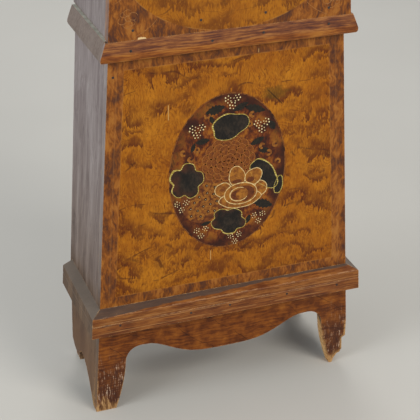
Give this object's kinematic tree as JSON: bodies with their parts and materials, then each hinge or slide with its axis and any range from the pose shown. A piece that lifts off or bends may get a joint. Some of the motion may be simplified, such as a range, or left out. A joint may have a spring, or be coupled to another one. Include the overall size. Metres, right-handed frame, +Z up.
{
  "type": "longcase clock",
  "caption": "Tall floor clock with a tapered painted pine case, scalloped feet, sliding glazed hood, pendulum and weight-driven movement.",
  "frame": {"origin": "on the floor, under the middle of the clock's overall box", "axes": "+Z up, +X to the right seen from the front, +Y from the dial towards the wall"},
  "size_m": [0.5136, 0.259, 2.092],
  "materials": {
    "painted_front": "grain-painted pine, golden ochre with dark brown figuring, varnished",
    "painted_moulding": "dark red-brown paint, rubbed at the edges",
    "weathered_side": "worn grey-brown paint, matt",
    "bare_pine": "unpainted old pine",
    "window_glass": "clear old glass",
    "iron": "dark iron",
    "steel": "filed steel",
    "blued_steel": "dark blued steel",
    "brass": "aged brass",
    "bell_metal": "pale bell metal",
    "dial_enamel": "cream enamel",
    "gut_line": "twisted hemp line"
  },
  "bodies": {
    "case": {"base_front": "painted_front", "base_side_left": "weathered_side", "base_side_right": "weathered_side", "base_floor": "bare_pine", "back_board": "bare_pine", "plinth_moulding_front": "painted_moulding", "plinth_moulding_returns": "weathered_side", "waist_moulding_front": "painted_moulding", "waist_moulding_returns": "weathered_side", "trunk_side_left": "weathered_side", "trunk_side_right": "weathered_side", "trunk_rail_lower": "painted_front", "trunk_rail_upper": "painted_front", "trunk_stile_left": "painted_front", "trunk_stile_right": "painted_front", "throat_moulding": "painted_moulding", "seat_board": "bare_pine", "door_hinge_plates": "iron", "front_plate": "brass", "back_plate": "brass", "plate_pillars": "brass", "back_cock": "brass", "dial": "dial_enamel", "bell": "bell_metal", "time_line": "gut_line", "strike_line": "gut_line"},
    "trunk_door": {"trunk_door": "painted_front", "door_bead": "painted_moulding", "door_glass": "window_glass", "door_hinge_leaves": "iron", "door_lock": "brass"},
    "lock_bolt": {"lock_bolt": "steel"},
    "door_key": {"door_key": "steel"},
    "hood": {"hood_side_left": "weathered_side", "hood_side_right": "weathered_side", "hood_front": "painted_moulding", "hood_top": "bare_pine", "cornice": "painted_moulding", "hood_hinge_plates": "iron"},
    "hood_door": {"hood_door": "painted_moulding", "hood_glass": "window_glass", "hood_hinge_leaves": "iron", "hood_knob": "brass"},
    "hammer": {"hammer": "steel"},
    "minute": {"minute_hand": "blued_steel", "centre_wheel": "brass"},
    "hour": {"hour_hand": "blued_steel", "hour_wheel": "brass"},
    "minute_wheel": {"minute_wheel": "brass"},
    "third_wheel": {"third_wheel": "brass"},
    "escape_wheel": {"escape_wheel": "brass"},
    "anchor": {"anchor": "steel"},
    "time_great_wheel": {"time_great_wheel": "brass"},
    "time_drum": {"time_drum": "brass"},
    "strike_drum": {"strike_drum": "brass"},
    "time_weight": {"time_weight": "iron"},
    "strike_weight": {"strike_weight": "iron"},
    "pendulum": {"pendulum_rod": "steel", "pendulum_bob": "brass", "rating_nut": "brass"}
  },
  "joints": [
    {"name": "hood_slide", "type": "slide", "parent": "case", "child": "hood", "axis": [0, -1, 0], "range_m": [0, 0.22]},
    {"name": "hood_door_swing", "type": "hinge", "parent": "hood", "child": "hood_door", "pos_m": [0.194, -0.0897, 1.85], "axis": [0, 0, 1], "range_deg": [0, 100]},
    {"name": "trunk_door_swing", "type": "hinge", "parent": "case", "child": "trunk_door", "pos_m": [0.13078, -0.0898, 1.18], "axis": [-0.0659, 0, 0.9978], "range_deg": [0, 100]},
    {"name": "key_turn", "type": "hinge", "parent": "trunk_door", "child": "door_key", "pos_m": [-0.10146, -0.0895, 1.2], "axis": [0, 1, 0], "range_deg": [0, 180]},
    {"name": "bolt_slide", "type": "slide", "parent": "trunk_door", "child": "lock_bolt", "axis": [-1, 0, 0], "range_m": [0, 0.01]},
    {"name": "pendulum_swing", "type": "hinge", "parent": "case", "child": "pendulum", "pos_m": [0, 0.0365, 1.91], "axis": [0, 1, 0], "range_deg": [-3.5, 3.5]},
    {"name": "anchor_rock", "type": "hinge", "parent": "case", "child": "anchor", "pos_m": [0, -0.0095, 1.91], "axis": [0, 1, 0], "range_deg": [-3.5, 3.5]},
    {"name": "minute_turn", "type": "hinge", "parent": "case", "child": "minute", "pos_m": [0, -0.0295, 1.852], "axis": [0, 1, 0], "continuous": true},
    {"name": "hour_turn", "type": "hinge", "parent": "case", "child": "hour", "pos_m": [0, -0.0695, 1.852], "axis": [0, 1, 0], "continuous": true},
    {"name": "minute_wheel_turn", "type": "hinge", "parent": "case", "child": "minute_wheel", "pos_m": [0, -0.0595, 1.828], "axis": [0, 1, 0], "continuous": true},
    {"name": "third_wheel_turn", "type": "hinge", "parent": "case", "child": "third_wheel", "pos_m": [-0.0108, -0.0195, 1.87071], "axis": [0, 1, 0], "continuous": true},
    {"name": "escape_wheel_turn", "type": "hinge", "parent": "case", "child": "escape_wheel", "pos_m": [0, -0.0195, 1.88597], "axis": [0, 1, 0], "continuous": true},
    {"name": "time_great_wheel_turn", "type": "hinge", "parent": "case", "child": "time_great_wheel", "pos_m": [0.027, 0.0015, 1.82759], "axis": [0, 1, 0], "continuous": true},
    {"name": "time_weight_drop", "type": "slide", "parent": "case", "child": "time_weight", "axis": [0, 0, 1], "range_m": [-0.85, 0.16], "deforming": ["time_line"]},
    {"name": "time_drum_wind", "type": "hinge", "parent": "case", "child": "time_drum", "pos_m": [0.027, -0.0175, 1.82759], "axis": [0, 1, 0], "range_deg": [-431, 2287]},
    {"name": "strike_weight_drop", "type": "slide", "parent": "case", "child": "strike_weight", "axis": [0, 0, 1], "range_m": [-0.77, 0.23], "deforming": ["strike_line"]},
    {"name": "strike_drum_wind", "type": "hinge", "parent": "case", "child": "strike_drum", "pos_m": [-0.027, -0.0175, 1.82759], "axis": [0, 1, 0], "range_deg": [-2072, 619]},
    {"name": "hammer_lift", "type": "hinge", "parent": "case", "child": "hammer", "pos_m": [-0.052, -0.0195, 1.892], "axis": [0, 1, 0], "range_deg": [-12, 0]}
  ],
  "couplings": [
    {"joint": "bolt_slide", "follows": "key_turn", "m_per_rad": 0.0031831},
    {"joint": "anchor_rock", "follows": "pendulum_swing", "ratio": 1},
    {"joint": "hour_turn", "follows": "minute_turn", "ratio": 0.083333},
    {"joint": "minute_wheel_turn", "follows": "minute_turn", "ratio": -0.33333},
    {"joint": "third_wheel_turn", "follows": "minute_turn", "ratio": -8},
    {"joint": "escape_wheel_turn", "follows": "minute_turn", "ratio": 60},
    {"joint": "time_great_wheel_turn", "follows": "minute_turn", "ratio": -0.083333},
    {"joint": "time_drum_wind", "follows": "time_weight_drop", "rad_per_m": -46.948},
    {"joint": "strike_drum_wind", "follows": "strike_weight_drop", "rad_per_m": 46.948}
  ]
}
